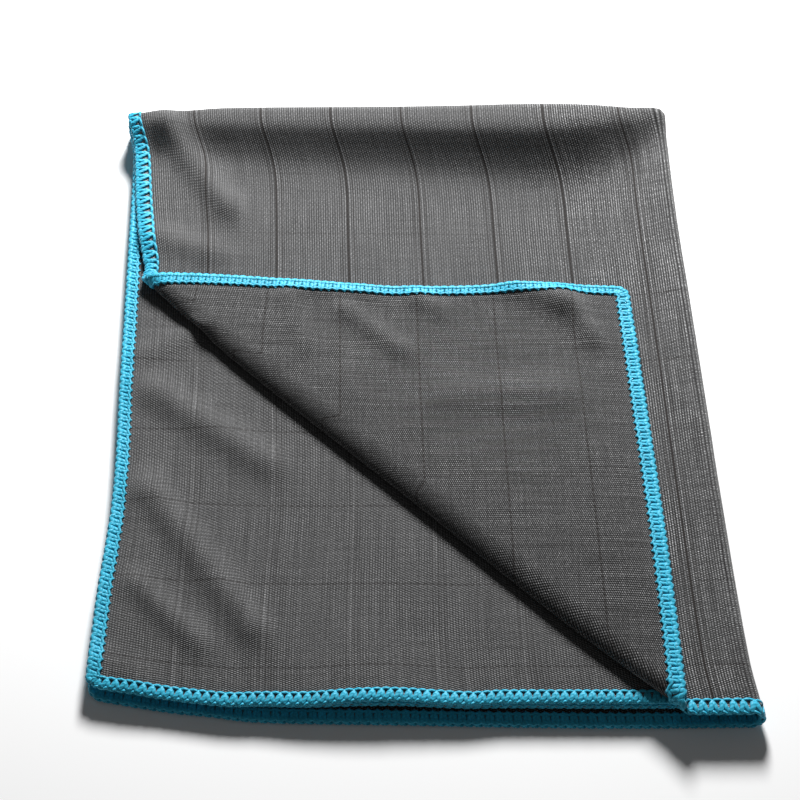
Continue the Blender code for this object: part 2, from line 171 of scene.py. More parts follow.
# What differs between the cloth's two faces. A line is its place beside the line's middle, its half width
# and its strength; a pair is a lowest and a highest value.
FRONT_LOOK = {
    "ribs": (0.12, 0.42),
    "rising_twill": 0.72,
    "falling_twill": 0.25,
    "dark_lines": ((0.95, 0.3, 0.22), (2.3, 0.26, 0.22), (-0.95, 0.26, 0.22)),
    "light_line": (0.0, 0.45, 0.22),
    "dots": (0.3, 0.95),
    # The tone below darkens the region where the weave is drawn clearer: painted shade.
    "painted_shade_tone": 0.54,
}
BACK_LOOK = {
    "ribs": (0.4, 0.7),
    "rising_twill": 0.42,
    "falling_twill": 0.3,
    "dark_lines": ((0.0, 0.38, 0.95), (1.9, 0.22, 0.45), (-1.9, 0.22, 0.45)),
    "light_line": (0.85, 0.35, 0.3),
    "dots": (0.05, 0.5),
    # The tone below darkens the region where the weave is drawn clearer: painted shade.
    "painted_shade_tone": 0.9,
}
RIM_INSET = 0.35                # the cloth's own cut edge, inside the threads
ROLL_MARGIN = 0.01              # share of the roll at each end that keeps the plain mesh
RIM_THICKNESS = 0.6             # share of the cloth's thickness that is left under the stitches
# The pale fibres' lightness is a painted highlight on the grey fibres.
FIBRE_HIGHLIGHT_FADE = (2.0, 3.6)         # how far in from the rim the loose fibres of the cut edge fade out

# Runs of overlocking: where each starts and ends on the flat cloth, its number of stitches, the face
# that carries the needle thread (1 the front, -1 the back), how far its rungs slant, in stitches, and
# its width as a share of the edging's.
SEWN_RUNS = (
    (-HALF_WIDTH, 0.0, -HALF_WIDTH, -62.4, 20, -1, 0.45, 1.0),
    (-HALF_WIDTH, -62.4, -HALF_WIDTH, -FRONT_LENGTH, 66, -1, 0.0, 1.0),
    (-HALF_WIDTH, -FRONT_LENGTH, 0.0, -FRONT_LENGTH, 66, -1, 0.0, 1.0),
    (0.0, -FRONT_LENGTH, HALF_WIDTH, -FRONT_LENGTH, 72, -1, 0.0, 1.0),
    (HALF_WIDTH, -FRONT_LENGTH, HALF_WIDTH, 0.0, 86, -1, 0.0, 1.0),
    (HALF_WIDTH, 0.0, HALF_WIDTH, INNER_LENGTH, 84, -1, 0.0, 1.0),
    (HALF_WIDTH, INNER_LENGTH, 0.0, INNER_LENGTH, 72, 1, 0.25, 0.86),
    (0.0, INNER_LENGTH, -HALF_WIDTH, INNER_LENGTH, 73, 1, 0.25, 0.86),
    (-HALF_WIDTH, INNER_LENGTH, -HALF_WIDTH, 0.0, 82, -1, 0.35, 1.0),
)
CORNER_STEPS = 6                # steps round half of a corner of the sewing line
HALF_CORNER = math.pi / 4

# One stitch of each thread: share of the stitch, place along it, share of the way in from the rim and
# height towards the needle's face, as a share of the edging's half thickness.
NEEDLE_THREAD = (
    (0.0, 0.0, 0.88, 0.55),
    (0.09, 0.04, 0.95, -0.5),
    (0.17, 0.08, 1.02, -0.9),
    (0.25, 0.12, 0.97, -0.4),
    (0.33, 0.1, 0.9, 0.7),
    (0.5, 0.36, 0.95, 1.2),
    (0.78, 0.72, 0.95, 1.2),
    (1.0, 1.0, 0.88, 0.55),
)
UPPER_LOOPER = (
    (0.0, 0.0, 0.84, 1.0),
    (0.12, 0.13, 0.62, 1.0),
    (0.26, 0.2, 0.4, 1.05),
    (0.38, 0.3, 0.18, 0.85),
    (0.5, 0.5, 0.02, 0.35),
    (0.62, 0.7, 0.18, 0.85),
    (0.74, 0.8, 0.4, 1.05),
    (0.88, 0.87, 0.62, 1.0),
    (1.0, 1.0, 0.84, 1.0),
)
LOWER_LOOPER = (
    (0.0, 0.0, 0.93, -0.9),
    (0.12, 0.16, 0.72, -1.05),
    (0.26, 0.22, 0.45, -1.05),
    (0.38, 0.3, 0.2, -0.95),
    (0.5, 0.5, 0.04, -0.4),
    (0.62, 0.7, 0.2, -0.95),
    (0.74, 0.78, 0.45, -1.05),
    (0.88, 0.84, 0.72, -1.05),
    (1.0, 1.0, 0.93, -0.9),
)
# The cord where the two loopers lock: it runs round the rim in a flat spiral.
RIM_CORD = (
    (0.0, -0.1, 0.06, 0.75),
    (0.25, 0.2, -0.05, 0.15),
    (0.5, 0.5, 0.03, -0.55),
    (0.75, 0.75, 0.02, -0.1),
    (1.0, 0.9, 0.06, 0.75),
)
# The second cord of that lock, laid along the looper's face beside the rim.
BACK_CORD = (
    (0.0, 0.0, 0.24, -1.15),
    (0.25, 0.25, 0.16, -1.25),
    (0.5, 0.5, 0.1, -1.1),
    (0.75, 0.75, 0.17, -1.25),
    (1.0, 1.0, 0.24, -1.15),
)
# The needle thread's loops, drawn into a small row of points on the looper's face.
INNER_POINTS = (
    (0.0, 0.0, 0.92, -1.2),
    (0.2, 0.2, 0.87, -1.3),
    (0.5, 0.5, 0.8, -1.35),
    (0.8, 0.8, 0.87, -1.3),
    (1.0, 1.0, 0.92, -1.2),
)
# Each thread's stitch, its width and its thickness.
THREADS = (
    ("needle_thread", NEEDLE_THREAD, 0.8, 0.5),
    ("upper_looper", UPPER_LOOPER, 1.3, 0.5),
    ("lower_looper", LOWER_LOOPER, 1.3, 0.5),
    ("rim_cord", RIM_CORD, 0.85, 0.7),
    ("back_cord", BACK_CORD, 1.5, 0.55),
    ("inner_points", INNER_POINTS, 0.85, 0.45),
)

# The stage, in metres except for the camera's sensor, which is in millimetres.
FLOOR_HALF = 3.0
KEY_SIZE = 0.16
KEY_PLACE = (0.03, 0.47, 0.33)
SENSOR_WIDTH = 36.0
NEAREST_SEEN = 0.01


def length_setting(name, description, millimetres):
    """A length that can be changed."""
    return FloatProperty(
        name=name, description=description, default=millimetres * MM, unit="LENGTH", precision=5)


def colour_setting(name, description, colour):
    """A colour that can be changed."""
    return FloatVectorProperty(
        name=name, description=description, default=colour, subtype="COLOR", min=0.0, max=1.0)


class ClothSettings(bpy.types.PropertyGroup):
    thickness: length_setting("Thickness", "Thickness of the woven cloth", 0.9)
    fine_step: length_setting("Fine spacing", "Mesh spacing on the top leaf", 1.42)
    coarse_step: length_setting("Coarse spacing", "Mesh spacing across the lower leaves", 4.2)
    rib: length_setting("Rib", "Distance between two warp ribs", 0.76)
    pick: length_setting("Pick", "Distance between two weft picks", 0.52)
    colour: colour_setting("Yarn colour", "Colour of the grey yarn", (0.083, 0.083, 0.084))
    line_colour: colour_setting(
        "Line colour", "Colour of the thin dark yarns of the woven squares", (0.014, 0.011, 0.010))
    # Pale: the grey fibres of the cut edge lightened by a painted highlight.
    fibre_highlight_colour: colour_setting(
        "Fibre highlight colour", "Colour of the loose fibres at the cut edge, with their painted highlight", (0.34, 0.35, 0.36))


class EdgingSettings(bpy.types.PropertyGroup):
    band: length_setting("Band", "Width of the overlocked edge", 3.6)
    half_height: length_setting(
        "Half height", "How far the threads' middles lie from the middle of the cloth", 0.5)
    steps: IntProperty(
        name="Steps", description="Points along one stitch of a thread", default=16, min=6, max=24)
    sides: IntProperty(name="Sides", description="Sides of a thread", default=6, min=3, max=12)
    unevenness: length_setting("Unevenness", "How far a thread strays from its place", 0.22)
    seed: IntProperty(name="Seed", description="Seed of the threads' unevenness", default=4)
    colour: colour_setting("Thread colour", "Colour of the turquoise thread", (0.028, 0.385, 0.56))


class StageSettings(bpy.types.PropertyGroup):
    elevation: FloatProperty(
        name="Elevation", description="Height of the camera above the horizon", default=math.radians(58.0),
        subtype="ANGLE")
    distance: FloatProperty(
        name="Distance", description="Distance of the camera from the cloth", default=0.4622, unit="LENGTH")
    lens: FloatProperty(name="Lens", description="Focal length in millimetres", default=70.2)
    key_power: FloatProperty(
        name="Key power", description="Power of the light behind the cloth", default=8.6,
        subtype="POWER")
    fill: FloatProperty(name="Fill", description="Strength of the surrounding light", default=0.08)
    floor_colour: colour_setting("Floor colour", "Colour of the floor", (0.94, 0.94, 0.94))


# Folding ---------------------------------------------------------------------------------------------


def along(table, places):
    """Values of a two-column table at the given places, on a smooth curve through its rows."""
    at, value = np.array(table).T
    slopes = np.empty(len(at))
    slopes[1:-1] = (value[2:] - value[:-2]) / (at[2:] - at[:-2])
    slopes[0] = (value[1] - value[0]) / (at[1] - at[0])
    slopes[-1] = (value[-1] - value[-2]) / (at[-1] - at[-2])
    held = np.clip(places, at[0], at[-1])
    row = np.clip(np.searchsorted(at, held, side="right") - 1, 0, len(at) - 2)
    span = at[row + 1] - at[row]
    share = (held - at[row]) / span
    keep = 1 - share
    return (value[row] * keep ** 2 * (1 + 2 * share) + value[row + 1] * share ** 2 * (3 - 2 * share)
            + slopes[row] * span * share * keep ** 2 - slopes[row + 1] * span * share ** 2 * keep)


def beside_line(x, y, start_x, start_y, end_x, end_y):
    """A line's length, then how far along it and how far to the right of it each point lies."""
    run = math.hypot(end_x - start_x, end_y - start_y)
    ahead_x = (end_x - start_x) / run
    ahead_y = (end_y - start_y) / run
    from_x = x - start_x
    from_y = y - start_y
    return run, from_x * ahead_x + from_y * ahead_y, from_x * ahead_y - from_y * ahead_x


def wave_height(waves, x, y):
    """Sum of the soft ridges and troughs of a table at each point."""
    height = np.zeros_like(x)
    for *ends, half_width, rise in waves:
        run, lengthwise, across = beside_line(x, y, *ends)
        beyond = np.maximum(0.0, np.maximum(-lengthwise, lengthwise - run))
        height += rise * np.exp(-(across / half_width) ** 2 - (beyond / (WAVE_END_REACH * half_width)) ** 2)
    return height


def leaf_end(v):
    """Distance from the back crease to the edge of the leaf that a point is on."""
    return np.where(v < 0, FRONT_LENGTH, INNER_LENGTH)


def round_corner(u, v, inset):
    """Move the points of a square-cut panel so that its corners are round, at an inset from the rim."""
    side = HALF_WIDTH - inset
    end = leaf_end(v) - inset
    radius = CORNER_RADIUS - inset
    past_u = np.abs(u) - (side - radius)
    past_v = np.abs(v) - (end - radius)
    corner = (past_u > 0) & (past_v > 0)
    scale = np.maximum(past_u, past_v) / np.maximum(np.hypot(past_u, past_v), 1e-9)
    round_u = np.where(corner, np.copysign(side - radius + past_u * scale, u), u)
    round_v = np.where(corner, np.copysign(end - radius + past_v * scale, v), v)
    return round_u, round_v


def fold_in_quarters(u, v):
    """Fold the flat cloth over its two creases. Gives x, y, z and the share of the stack's height."""
    from_back = np.abs(v) / along(SWELL_REACH, np.abs(u))
    swell = BACK_SWELL * along(SWELL_SPAN, np.abs(u)) * along(SWELL_FADE, from_back)
    half_gap = LEAF_HALF_GAP + swell
    crease_half = math.pi * (LEAF_HALF_GAP + BACK_SWELL) / 2
    bent = np.abs(v) < crease_half
    angle = v / crease_half * math.pi / 2
    straight_y = BACK_Y - half_gap - (np.abs(v) - crease_half)
    y = np.where(bent, BACK_Y - half_gap * (1 - np.cos(angle)), straight_y)
    offset = np.where(bent, -half_gap * np.sin(angle), np.copysign(half_gap, -v))
    radius = TURN_RADIUS + swell
    turn_half = math.pi * TURN_RADIUS / 2
    outer = radius + half_gap
    bent = np.abs(u) < turn_half
    angle = u / turn_half * math.pi / 2
    x = np.where(bent, (radius + offset) * np.cos(angle) - outer, -(np.abs(u) - turn_half) - outer)
    z = np.where(bent, -(radius + offset) * np.sin(angle), np.copysign(radius + offset, -u))
    share = (z + outer) / (2 * outer)
    return x, y, z + outer, share


def lie_askew(x, y, share, inner):
    """Lay the folded stack between its side lines, with the lower leaves' front edges uneven."""
    forward = np.maximum(0.0, (BACK_Y - y) / FRONT_LENGTH)
    left = along(LEFT_LINE, y)
    right = along(RIGHT_LINE, y)
    x = right + x / HALF_WIDTH * (right - left)
    y = y + along(BACK_LINE, x) * (1 - forward)
    y = y - along(BOTTOM_FRONT, x) * (1 - share) * forward ** BOTTOM_FADE
    y = y + np.where(inner, along(INNER_FRONT, x) * share * forward ** INNER_FADE, 0.0)
    return x, y


def rim_distance(u, v):
    """Distance of a point of the flat cloth from its nearest rim."""
    return np.minimum(HALF_WIDTH - np.abs(u), leaf_end(v) - np.abs(v))


def edging_lift(u, v):
    """How far the thicker edging lifts the cloth beside it."""
    share = np.clip(1 - (rim_distance(u, v) - EDGING_WIDTH) / EDGING_RAMP, 0.0, 1.0)
    return EDGING_LIFT * share * share * (3 - 2 * share)


def edge_spread(u, v):
    """How far the top leaf's wider edging moves the cloth in from its side edge."""
    inside = HALF_WIDTH - np.abs(u)
    crease = 1 - np.exp(-np.abs(v) / EDGE_SPREAD_REACH)
    turn = np.exp(-np.maximum(0.0, np.abs(v) - (BACK_Y - EDGE_PULL_PLACE)) / EDGE_SPREAD_REACH)
    beyond = np.maximum(0.0, inside - EDGING_WIDTH)
    near = np.minimum(1.0, inside / EDGING_WIDTH)
    return EDGE_SPREAD * crease * turn * near * np.exp(-beyond / EDGE_SPREAD_REACH)


def turn_at(share):
    """The measures of the turn at each share of the way along it."""
    share = np.clip(share, 0.0, 1.0)
    return [along([(row[0], row[column]) for row in TURN], share) for column in range(1, len(TURN[0]))]


def roll_profile(past, laid, drawn, height, taken, foot, hang):
    """How far past the fold's line and how high the turned cloth lies, and the share of the roll passed."""
    # The foot turns sharply over. From it the flap rises along a curve that levels out, then settles.
    foot_cloth = foot * FOOT_ANGLE
    angle = np.clip(past / foot_cloth, 0.0, 1.0) * FOOT_ANGLE
    foot_end = foot * math.sin(FOOT_ANGLE)
    foot_top = foot * (1 - math.cos(FOOT_ANGLE)) - hang
    behind = 2 * (height - foot_top) / math.tan(math.pi - FOOT_ANGLE)
    level = (taken * drawn - foot_end + behind) / drawn
    over = np.clip((past - foot_cloth) / np.maximum(level - foot_cloth, 0.5), 0.0, 1.0)
    reach = np.where(past < foot_cloth, foot * np.sin(angle), foot_end - behind * over)
    reach = np.where(over < 1, reach, -laid * drawn)
    top = foot_top + (height - foot_top) * over * (2 - over)
    settled = np.maximum(0.0, past - level)
    top = np.where(over < 1, top, FLAP_LIFT + (height - FLAP_LIFT) * np.exp(-(settled / FLAP_SETTLE) ** 2))
    rise = np.where(past < foot_cloth, foot * (1 - np.cos(angle)) - hang, top)
    return reach, rise, np.clip(past / level, 0.0, 1.0)


def turn_back(x, y, z, from_front):
    """Roll the top leaf's free corner back over it. Gives x, y, z, the cloth laid and the roll's share."""
    near = np.hypot(x - along(LEFT_LINE, y), y - EDGE_PULL_PLACE)
    x = x + EDGE_PULL * np.exp(-near / EDGE_PULL_REACH)
    run, lengthwise, past = beside_line(x, y, *TURN_START, *TURN_END)
    bow, height, taken, foot, hang = turn_at(lengthwise / run)
    past = past - bow
    laid = np.maximum(0.0, past - taken)

    # The cloth laid is drawn together or out so that the free corner comes to rest in its place.
    _, corner_length, corner_past = beside_line(*FLAT_CORNER, *TURN_START, *TURN_END)
    _, rest_length, rest_past = beside_line(*CORNER_REST, *TURN_START, *TURN_END)
    corner_bow, _, corner_taken, _, _ = turn_at(corner_length / run)
    corner_laid = corner_past - corner_bow - corner_taken
    drawn = (corner_bow - rest_past) / corner_laid
    eased = SIDE_EASE * np.sin(math.pi * np.minimum(1.0, laid / corner_laid))
    eased = eased * np.exp(-from_front / SIDE_EASE_REACH)
    reach, rise, share = roll_profile(past, laid, drawn, height, taken, foot, hang)
    reach = reach - eased + bow
    lengthwise = lengthwise + laid * (rest_length - corner_length) / corner_laid

    ahead_x = (TURN_END[0] - TURN_START[0]) / run
    ahead_y = (TURN_END[1] - TURN_START[1]) / run
    sunk = hang * np.exp(-(np.minimum(past, 0.0) / HANG_REACH) ** 2)
    turned = past > 0
    return (
        np.where(turned, TURN_START[0] + lengthwise * ahead_x + reach * ahead_y, x),
        np.where(turned, TURN_START[1] + lengthwise * ahead_y - reach * ahead_x, y),
        np.where(turned, z + rise, z - sunk),
        np.where(turned, laid, 0.0),
        np.where(turned, share, 0.0),
    )


def lie_of(u, v):
    """Where points of the flat cloth lie when it is folded, and the share of the roll they have passed."""
    x, y, z, share = fold_in_quarters(u, v)
    x, y = lie_askew(x, y, share, v > 0)
    top = (u < -math.pi * TURN_RADIUS / 2) & (v < 0)
    turned = turn_back(x + edge_spread(u, v), y, z, FRONT_LENGTH + v)
    x, y, z, laid, rolled = (np.where(top, new, old) for new, old in zip(turned, (x, y, z, 0.0, 0.0)))
    z = z + edging_lift(u, v)
    z = z + share * wave_height(LEAF_WAVES, x, y)
    z = z + (1 - np.exp(-laid / FLAP_WAVE_RISE)) * wave_height(FLAP_WAVES, x, y)
    place = np.stack((x - MIDDLE[0], y - MIDDLE[1], z + CLOTH_LEVEL), axis=-1)
    return place, rolled


def face_direction(u, v):
    """The way that the front of the cloth faces at each point when it is folded."""
    reach = 0.05
    across = lie_of(u + reach, v)[0] - lie_of(u - reach, v)[0]
    lengthwise = lie_of(u, v + reach)[0] - lie_of(u, v - reach)[0]
    facing = np.cross(lengthwise, across)
    return facing / np.linalg.norm(facing, axis=-1, keepdims=True)


def smooth(low, high, value):
    """Smooth rise from 0 to 1 between two values."""
    share = np.clip((value - low) / (high - low), 0.0, 1.0)
    return share * share * (3 - 2 * share)


# Node trees ------------------------------------------------------------------------------------------


class Tree:
    """A node tree, with short ways to add nodes and link them."""

    def __init__(self, nodes, links):
        self.nodes = nodes
        self.links = links

    def add(self, kind, inputs=None, **settings):
        """A node with its settings, and its inputs by name or number, each a value or an output."""
        node = self.nodes.new(kind)
        for name, value in settings.items():
            setattr(node, name, value)
        self.fill(node, inputs or {})
        return node

    def fill(self, node, inputs):
        """Set a node's inputs, by name or number, each to a value or an output."""
        for name, value in inputs.items():
            if isinstance(value, bpy.types.NodeSocket):
                self.links.new(value, node.inputs[name])
            else:
                node.inputs[name].default_value = value

    def output(self, kind, inputs=None, **settings):
        """The first output of a new node."""
        return self.add(kind, inputs, **settings).outputs[0]

    def math(self, operation, *values, clamp=False):
        """Output of a math node."""
        return self.output("ShaderNodeMath", dict(enumerate(values)), operation=operation, use_clamp=clamp)

    def product(self, first, *others):
        """Product of several values."""
        for other in others:
            first = self.math("MULTIPLY", first, other)
        return first

    def vector(self, operation, *values, **named):
        """Output of a vector math node."""
        return self.output("ShaderNodeVectorMath", {**dict(enumerate(values)), **named}, operation=operation)

    def noise(self, place, scale, detail, roughness=0.5):
        """Output of a noise texture."""
        inputs = {"Vector": place, "Scale": scale, "Detail": detail, "Roughness": roughness}
        return self.output("ShaderNodeTexNoise", inputs)

    def between(self, low, high, value):
        """Smooth rise from 0 to 1 between two values."""
        inputs = {"Value": value, "From Min": low, "From Max": high}
        return self.output("ShaderNodeMapRange", inputs, interpolation_type="SMOOTHSTEP")

    def wave(self, value, pitch, shift=0.0):
        """A cosine of the given pitch, from -1 to 1."""
        turns = self.math("MULTIPLY_ADD", value, 2 * math.pi / pitch, shift)
        return self.math("COSINE", turns)

    def scaled(self, value, low, high):
        """A value from 0 to 1 spread between two others."""
        return self.math("MULTIPLY_ADD", value, high - low, low)

    def colour(self, share, first, second, blend="MIX"):
        """Mix of two colours."""
        node = self.add("ShaderNodeMix", {0: share, 6: first, 7: second}, data_type="RGBA", blend_type=blend)
        return node.outputs[2]

    def toned(self, colour, tone):
        """A colour made darker or lighter by a tone."""
        grey = self.output("ShaderNodeCombineColor", {0: tone, 1: tone, 2: tone})
        return self.colour(1.0, (*colour, 1.0), grey, "MULTIPLY")


def material_tree(name):
    """A new material, its tree and its shader."""
    material = bpy.data.materials.new(name)
    material.use_nodes = True
    tree = Tree(material.node_tree.nodes, material.node_tree.links)
    return material, tree, tree.nodes["Principled BSDF"]


# The cloth -------------------------------------------------------------------------------------------


def nearest_line(tree, place, start, pitch):
    """Distance of a place from the nearest of a row of evenly spaced lines, in millimetres."""
    return tree.math("WRAP", tree.math("SUBTRACT", place, start), pitch / 2, -pitch / 2)


def line(tree, from_line, shift, half_width, strength=1.0):
    """A soft line, at a shift from one of a row of lines."""
    off = tree.math("ABSOLUTE", tree.math("SUBTRACT", from_line, shift))
    missing = tree.between(half_width * 0.5, half_width * 1.5, off)
    return tree.math("MULTIPLY", tree.math("SUBTRACT", 1.0, missing), strength)


def map_in_mm(tree, name):
    """A map of the cloth in millimetres, whole and as its two measures."""
    mm = tree.vector("SCALE", tree.output("ShaderNodeUVMap", uv_map=name), Scale=1 / MM)
    split = tree.add("ShaderNodeSeparateXYZ", {0: mm})
    return mm, split.outputs[0], split.outputs[1]


def plain_weave(tree, settings, look, mm, u, v, cloud):
    """Height of the woven yarns: ribs and a fine twill, which change slowly over the cloth."""
    rib = settings.rib / MM
    patch = tree.between(0.38, 0.62, cloud)
    wander = tree.scaled(tree.noise(mm, 0.11, 1.0), -0.9, 0.9)
    rib_turns = tree.math("DIVIDE", u, 2 * rib)
    pick_turns = tree.math("DIVIDE", v, settings.pick / MM)
    rising = tree.wave(tree.math("ADD", rib_turns, pick_turns), 1.0, wander)
    falling = tree.wave(tree.math("SUBTRACT", rib_turns, pick_turns), 1.0)
    weave = tree.math("MULTIPLY", tree.wave(u, rib, wander), tree.scaled(patch, *look["ribs"]))
    weave = tree.math("MULTIPLY_ADD", rising, look["rising_twill"], weave)
    return tree.math("MULTIPLY_ADD", falling, look["falling_twill"], weave)


def streaks(tree, mm, across, along_v):
    """Noise drawn out into streaks, with its fineness across and along the cloth."""
    return tree.noise(tree.vector("MULTIPLY", mm, (across, along_v, 0.0)), 1.0, 2.0)


def square_lines(tree, look, clear_weave_and_shade):
    """The thin lines of the woven squares: how dark, and how much lighter than the cloth, each place is."""
    _, u, v = map_in_mm(tree, "squares")
    from_warp = nearest_line(tree, u, WARP_LINE_START, WARP_LINE_PITCH)
    inner_leaf = tree.between(*LEAF_CHANGE, v)
    shifted_v = tree.math("MULTIPLY_ADD", inner_leaf, -INNER_LINE_SHIFT, v)
    from_weft = nearest_line(tree, shifted_v, WEFT_LINE_START, WEFT_LINE_PITCH)
    dark_warp = 0.0
    for row in look["dark_lines"]:
        dark_warp = tree.math("MAXIMUM", dark_warp, line(tree, from_warp, *row))
    dots_along = u if look is FRONT_LOOK else v
    dots = tree.math("MULTIPLY_ADD", tree.wave(dots_along, DOT_PITCH), 0.5, 0.5)
    weft_line = line(tree, from_weft, 0.0, WEFT_LINE_HALF)
    dark_weft = tree.math("MULTIPLY", weft_line, tree.scaled(dots, *look["dots"]))
    if look is FRONT_LOOK:
        dark_weft = tree.math("MULTIPLY", dark_weft, tree.scaled(clear_weave_and_shade, 0.6, 1.0))
    return tree.math("MAXIMUM", dark_warp, dark_weft, clamp=True), line(tree, from_warp, *look["light_line"])


def weave_material(name, settings, look):
    """Woven microfibre: ribs, picks and thin lines in squares. The front and the back differ."""
    material, tree, shader = material_tree(name)
    mm, u, v = map_in_mm(tree, "flat")
    cloud = tree.noise(mm, 0.045, 2.0, 0.55)
    weave = plain_weave(tree, settings, look, mm, u, v, cloud)

    # Uneven yarns, patches and the fine grain of the fibres. The weave and the grain also make the raised
    # yarns lighter and their hollows darker: painted highlight and painted shade.
    grain = tree.noise(mm, 2.6, 2.0, 0.7)
    tone = tree.product(
        tree.scaled(streaks(tree, mm, 1.1, 0.045), 0.6, 1.4),
        tree.scaled(streaks(tree, mm, 0.05, 1.2), 0.75, 1.25),
        tree.scaled(cloud, 0.88, 1.12),
        tree.scaled(grain, -0.4, 2.4),
        tree.math("MAXIMUM", tree.math("ADD", weave, 1.0), 0.08))

    # On the turned corner and beside the side crease the tone is drawn out harder and made darker: painted
    # contrast and painted shade of a grazing light, where the weave is drawn clearer.
    if look is FRONT_LOOK:
        clear_weave_and_shade = tree.math("SUBTRACT", 1.0, tree.between(*LEAF_CHANGE, v))
    else:
        clear_weave_and_shade = tree.between(*SIDE_CREASE_NEARS, u)
    tone = tree.math("POWER", tree.math("MAXIMUM", tone, 0.0), tree.scaled(clear_weave_and_shade, 1.25, 2.0))
    dark_lines, light_lines = square_lines(tree, look, clear_weave_and_shade)
    tone = tree.product(
        tone, tree.scaled(clear_weave_and_shade, 1.0, look["painted_shade_tone"]), tree.math("ADD", light_lines, 1.0))

    # Loose fibres of the cut edge, seen between the threads: grey fibres made pale by a painted highlight.
    rim = tree.add("ShaderNodeAttribute", attribute_name="rim_distance").outputs["Fac"]
    cut = tree.math("SUBTRACT", 1.0, tree.between(*FIBRE_HIGHLIGHT_FADE, rim))
    colour = tree.toned(settings.colour, tone)
    colour = tree.colour(dark_lines, colour, (*settings.line_colour, 1.0))
    colour = tree.colour(tree.math("MULTIPLY", cut, 0.6), colour, (*settings.fibre_highlight_colour, 1.0))

    raised = tree.math("MULTIPLY_ADD", grain, 0.8, weave)
    raised = tree.math("MULTIPLY_ADD", dark_lines, -1.2, raised)
    tree.fill(shader, {
        "Base Color": colour,
        "Normal": tree.output("ShaderNodeBump", {"Height": raised, "Strength": 0.7, "Distance": 0.16 * MM}),
        "Roughness": tree.scaled(cloud, 0.78, 0.96),
        "Sheen Weight": 0.25,
        "Sheen Roughness": 0.45,
        "Specular IOR Level": 0.25,
    })
    return material


def spaced(start, end, step):
    """Evenly spaced places from a start up to but not at an end."""
    count = max(1, round(abs(end - start) / step))
    return np.linspace(start, end, count, endpoint=False)


def sheet_places(half_bend, low, high, low_step, high_step):
    """Places of mesh lines along one way of the flat cloth, close together round its crease."""
    bend = half_bend + 1.0
    return np.concatenate((
        spaced(low, -bend, low_step), spaced(-bend, bend, min(low_step, 0.8)),
        spaced(bend, high, high_step), (high,)))


